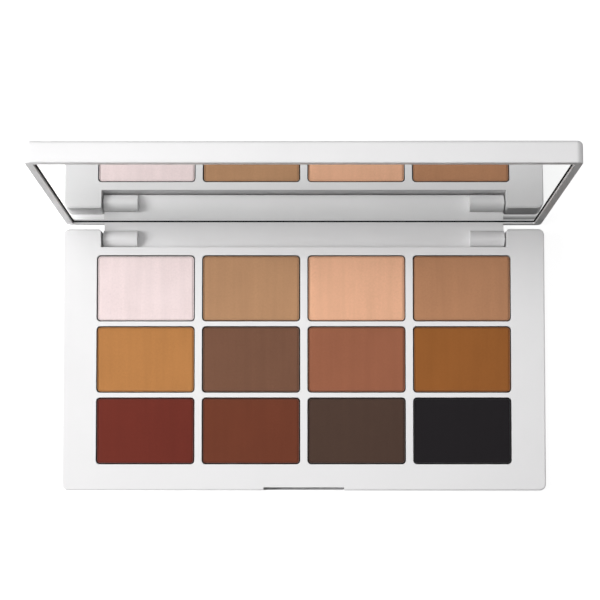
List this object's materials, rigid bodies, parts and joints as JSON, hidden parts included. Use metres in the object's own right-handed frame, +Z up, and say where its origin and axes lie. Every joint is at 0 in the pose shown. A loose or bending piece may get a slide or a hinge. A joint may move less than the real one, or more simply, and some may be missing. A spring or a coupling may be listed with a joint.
{
  "type": "eyeshadow palette",
  "caption": "Slim rectangular makeup palette with rows of pressed-powder pans under a hinged lid that holds a full-width mirror.",
  "frame": {"origin": "centre of the base's underside, on the surface that the palette stands on", "axes": "+X to the user's right, +Y from the thumb notch to the hinge, +Z up; the lid is open and stands at the +Y side"},
  "size_m": [0.15, 0.0946, 0.0822],
  "materials": {
    "shell": "satin",
    "tray": "matte",
    "label": "matte",
    "glue": "satin",
    "magnet": "satin",
    "pin_steel": "satin",
    "mirror": "polished",
    "bead": "satin",
    "tape": "matte",
    "plate_steel": "satin",
    "pan_metal": "satin",
    "powder_front_1": "matte",
    "powder_front_2": "matte",
    "powder_front_3": "matte",
    "powder_front_4": "matte",
    "powder_middle_1": "matte",
    "powder_middle_2": "matte",
    "powder_middle_3": "matte",
    "powder_middle_4": "matte",
    "powder_back_1": "matte",
    "powder_back_2": "matte",
    "powder_back_3": "matte",
    "powder_back_4": "matte"
  },
  "bodies": {
    "base": {"base_frame": "shell", "pan_tray": "tray", "bottom_cover": "shell", "underside_label": "label", "pan_glue_dots": "glue", "base_magnets": "magnet", "hinge_pin_left": "pin_steel", "hinge_pin_right": "pin_steel", "pan_front_1": "pan_metal", "pan_front_2": "pan_metal", "pan_front_3": "pan_metal", "pan_front_4": "pan_metal", "pan_middle_1": "pan_metal", "pan_middle_2": "pan_metal", "pan_middle_3": "pan_metal", "pan_middle_4": "pan_metal", "pan_back_1": "pan_metal", "pan_back_2": "pan_metal", "pan_back_3": "pan_metal", "pan_back_4": "pan_metal", "powder_front_1": "powder_front_1", "powder_front_2": "powder_front_2", "powder_front_3": "powder_front_3", "powder_front_4": "powder_front_4", "powder_middle_1": "powder_middle_1", "powder_middle_2": "powder_middle_2", "powder_middle_3": "powder_middle_3", "powder_middle_4": "powder_middle_4", "powder_back_1": "powder_back_1", "powder_back_2": "powder_back_2", "powder_back_3": "powder_back_3", "powder_back_4": "powder_back_4"},
    "lid": {"lid_shell": "shell", "mirror": "mirror", "mirror_bead": "bead", "mirror_tape": "tape", "lid_steel_plates": "plate_steel"}
  },
  "joints": [
    {"name": "lid_hinge", "type": "hinge", "parent": "base", "child": "lid", "pos_m": [0, 0.03805, 0.00388], "axis": [1, 0, 0], "range_deg": [0, 93.25]}
  ]
}
